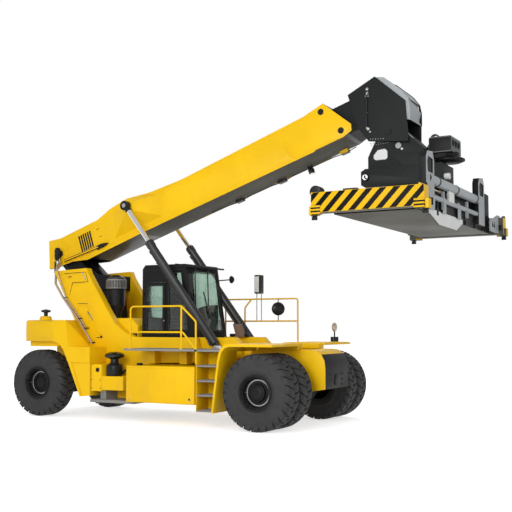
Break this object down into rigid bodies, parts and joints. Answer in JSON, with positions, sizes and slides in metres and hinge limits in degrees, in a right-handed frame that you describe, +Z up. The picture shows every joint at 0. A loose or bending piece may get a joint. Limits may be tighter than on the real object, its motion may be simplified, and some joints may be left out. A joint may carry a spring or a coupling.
{
  "type": "reach stacker",
  "caption": "Yellow container reach stacker: telescopic boom, rear counterweight, black cab under the boom, turning twistlock spreader, twin front and steered rear wheels.",
  "frame": {"origin": "on the ground, under the middle of the bounding box", "axes": "+X forwards, +Y to the driver's left, +Z up"},
  "size_m": [11.5205, 6.113, 7.77],
  "materials": {
    "yellow_paint": "gloss yellow machine paint",
    "black_paint": "satin black paint",
    "dark_grey_paint": "satin dark grey paint",
    "light_grey_paint": "light grey paint",
    "rubber": "black rubber",
    "iron": "black iron",
    "chrome": "chromed rod",
    "glass": "green tinted glass",
    "seat": "black seat fabric"
  },
  "bodies": {
    "chassis": {"chassis_frame": "yellow_paint", "counterweight": "yellow_paint", "engine_hood": "yellow_paint", "engine_block": "iron", "air_cleaner": "iron", "drive_axle": "iron", "steer_axle": "iron", "tank_right": "yellow_paint", "tank_left": "yellow_paint", "walkway_right": "iron", "walkway_left": "iron", "fender_right": "yellow_paint", "fender_left": "yellow_paint", "cab_shell": "black_paint", "glass_front": "glass", "glass_rear": "glass", "glass_right": "glass", "glass_left": "glass", "operator_seat": "seat", "console_and_wheel": "iron", "service_box_right": "yellow_paint", "service_box_left": "yellow_paint", "precleaner": "iron", "tower_pipes": "iron"},
    "cab_door": {"cab_door": "black_paint", "glass_door": "glass"},
    "boom": {"boom_outer": "yellow_paint", "boom_sleeve": "iron"},
    "inner_boom": {"boom_inner": "dark_grey_paint"},
    "yoke": {"rotator_yoke": "dark_grey_paint", "slewing_drive": "iron"},
    "carriage": {"side_shift_carriage": "dark_grey_paint"},
    "spreader": {"spreader_frame": "light_grey_paint"},
    "wheel_front_right": {"tyre_front_right_outer": "rubber", "tyre_front_right_inner": "rubber", "rim_front_right": "iron"},
    "wheel_rear_right": {"tyre_rear_right": "rubber", "rim_rear_right": "iron"},
    "knuckle_right": {"knuckle_right": "iron"},
    "barrel_right": {"lift_barrel_right": "black_paint"},
    "rod_right": {"lift_rod_right": "chrome"},
    "end_right": {"end_beam_right": "yellow_paint"},
    "lock_right_front": {"twistlock_right_front": "iron"},
    "lock_right_rear": {"twistlock_right_rear": "iron"},
    "wheel_front_left": {"tyre_front_left_outer": "rubber", "tyre_front_left_inner": "rubber", "rim_front_left": "iron"},
    "wheel_rear_left": {"tyre_rear_left": "rubber", "rim_rear_left": "iron"},
    "knuckle_left": {"knuckle_left": "iron"},
    "barrel_left": {"lift_barrel_left": "black_paint"},
    "rod_left": {"lift_rod_left": "chrome"},
    "end_left": {"end_beam_left": "yellow_paint"},
    "lock_left_front": {"twistlock_left_front": "iron"},
    "lock_left_rear": {"twistlock_left_rear": "iron"}
  },
  "joints": [
    {"name": "front_wheel_right", "type": "hinge", "parent": "chassis", "child": "wheel_front_right", "pos_m": [1.56277, -1.86, 0.83], "axis": [0, 1, 0], "continuous": true},
    {"name": "steer_right", "type": "hinge", "parent": "chassis", "child": "knuckle_right", "pos_m": [-4.98323, -1, 0.83], "axis": [0, 0, 1], "range_deg": [-40, 40]},
    {"name": "rear_wheel_right", "type": "hinge", "parent": "knuckle_right", "child": "wheel_rear_right", "pos_m": [-4.98323, -1.37, 0.83], "axis": [0, 1, 0], "continuous": true},
    {"name": "front_wheel_left", "type": "hinge", "parent": "chassis", "child": "wheel_front_left", "pos_m": [1.56277, 1.86, 0.83], "axis": [0, 1, 0], "continuous": true},
    {"name": "steer_left", "type": "hinge", "parent": "chassis", "child": "knuckle_left", "pos_m": [-4.98323, 1, 0.83], "axis": [0, 0, 1], "range_deg": [-40, 40]},
    {"name": "rear_wheel_left", "type": "hinge", "parent": "knuckle_left", "child": "wheel_rear_left", "pos_m": [-4.98323, 1.37, 0.83], "axis": [0, 1, 0], "continuous": true},
    {"name": "cab_door_hinge", "type": "hinge", "parent": "chassis", "child": "cab_door", "pos_m": [-2.31723, -0.77, 2.5], "axis": [0, 0, -1], "range_deg": [0, 80]},
    {"name": "boom_lift", "type": "hinge", "parent": "chassis", "child": "boom", "pos_m": [-5.28723, 0, 4.17], "axis": [0, -1, 0], "range_deg": [-16.5, 41.5]},
    {"name": "boom_extend", "type": "slide", "parent": "boom", "child": "inner_boom", "axis": [-0.9483, 0, -0.3173], "range_m": [-6.4, 0]},
    {"name": "head_level", "type": "hinge", "parent": "inner_boom", "child": "yoke", "pos_m": [3.98277, 0, 6.5], "axis": [0, -1, 0], "range_deg": [-42, 17]},
    {"name": "rotate", "type": "hinge", "parent": "yoke", "child": "carriage", "pos_m": [4.49277, 0, 5.3], "axis": [0, 0, -1], "range_deg": [-105, 195]},
    {"name": "side_shift", "type": "slide", "parent": "carriage", "child": "spreader", "axis": [0, 1, 0], "range_m": [-0.8, 0.8]},
    {"name": "telescope_right", "type": "slide", "parent": "spreader", "child": "end_right", "axis": [0, -1, 0], "range_m": [0, 3.066]},
    {"name": "telescope_left", "type": "slide", "parent": "spreader", "child": "end_left", "axis": [0, 1, 0], "range_m": [0, 3.066]},
    {"name": "barrel_swing_right", "type": "hinge", "parent": "chassis", "child": "barrel_right", "pos_m": [-0.04723, -0.9, 1.68], "axis": [0, -1, 0], "range_deg": [-1, 1]},
    {"name": "rod_slide_right", "type": "slide", "parent": "barrel_right", "child": "rod_right", "axis": [-0.6149, 0, 0.7886], "range_m": [-0.76, 1.91]},
    {"name": "twistlock_right_front", "type": "hinge", "parent": "end_right", "child": "lock_right_front", "pos_m": [5.62227, -2.9265, 4.5], "axis": [0, 0, 1], "range_deg": [0, 90]},
    {"name": "twistlock_right_rear", "type": "hinge", "parent": "end_right", "child": "lock_right_rear", "pos_m": [3.36327, -2.9265, 4.5], "axis": [0, 0, 1], "range_deg": [0, 90]},
    {"name": "barrel_swing_left", "type": "hinge", "parent": "chassis", "child": "barrel_left", "pos_m": [-0.04723, 0.9, 1.68], "axis": [0, -1, 0], "range_deg": [-1, 1]},
    {"name": "rod_slide_left", "type": "slide", "parent": "barrel_left", "child": "rod_left", "axis": [-0.6149, 0, 0.7886], "range_m": [-0.76, 1.91]},
    {"name": "twistlock_left_front", "type": "hinge", "parent": "end_left", "child": "lock_left_front", "pos_m": [5.62227, 2.9265, 4.5], "axis": [0, 0, 1], "range_deg": [0, 90]},
    {"name": "twistlock_left_rear", "type": "hinge", "parent": "end_left", "child": "lock_left_rear", "pos_m": [3.36327, 2.9265, 4.5], "axis": [0, 0, 1], "range_deg": [0, 90]}
  ],
  "couplings": [
    {"joint": "steer_left", "follows": "steer_right", "ratio": 1},
    {"joint": "head_level", "follows": "boom_lift", "ratio": -1},
    {"joint": "telescope_left", "follows": "telescope_right", "ratio": 1},
    {"joint": "barrel_swing_right", "follows": "boom_lift", "ratio": 0.0074},
    {"joint": "rod_slide_right", "follows": "boom_lift", "m_per_rad": 2.6304},
    {"joint": "twistlock_right_rear", "follows": "twistlock_right_front", "ratio": 1},
    {"joint": "barrel_swing_left", "follows": "boom_lift", "ratio": 0.0074},
    {"joint": "rod_slide_left", "follows": "boom_lift", "m_per_rad": 2.6304},
    {"joint": "twistlock_left_front", "follows": "twistlock_right_front", "ratio": 1},
    {"joint": "twistlock_left_rear", "follows": "twistlock_right_front", "ratio": 1}
  ]
}
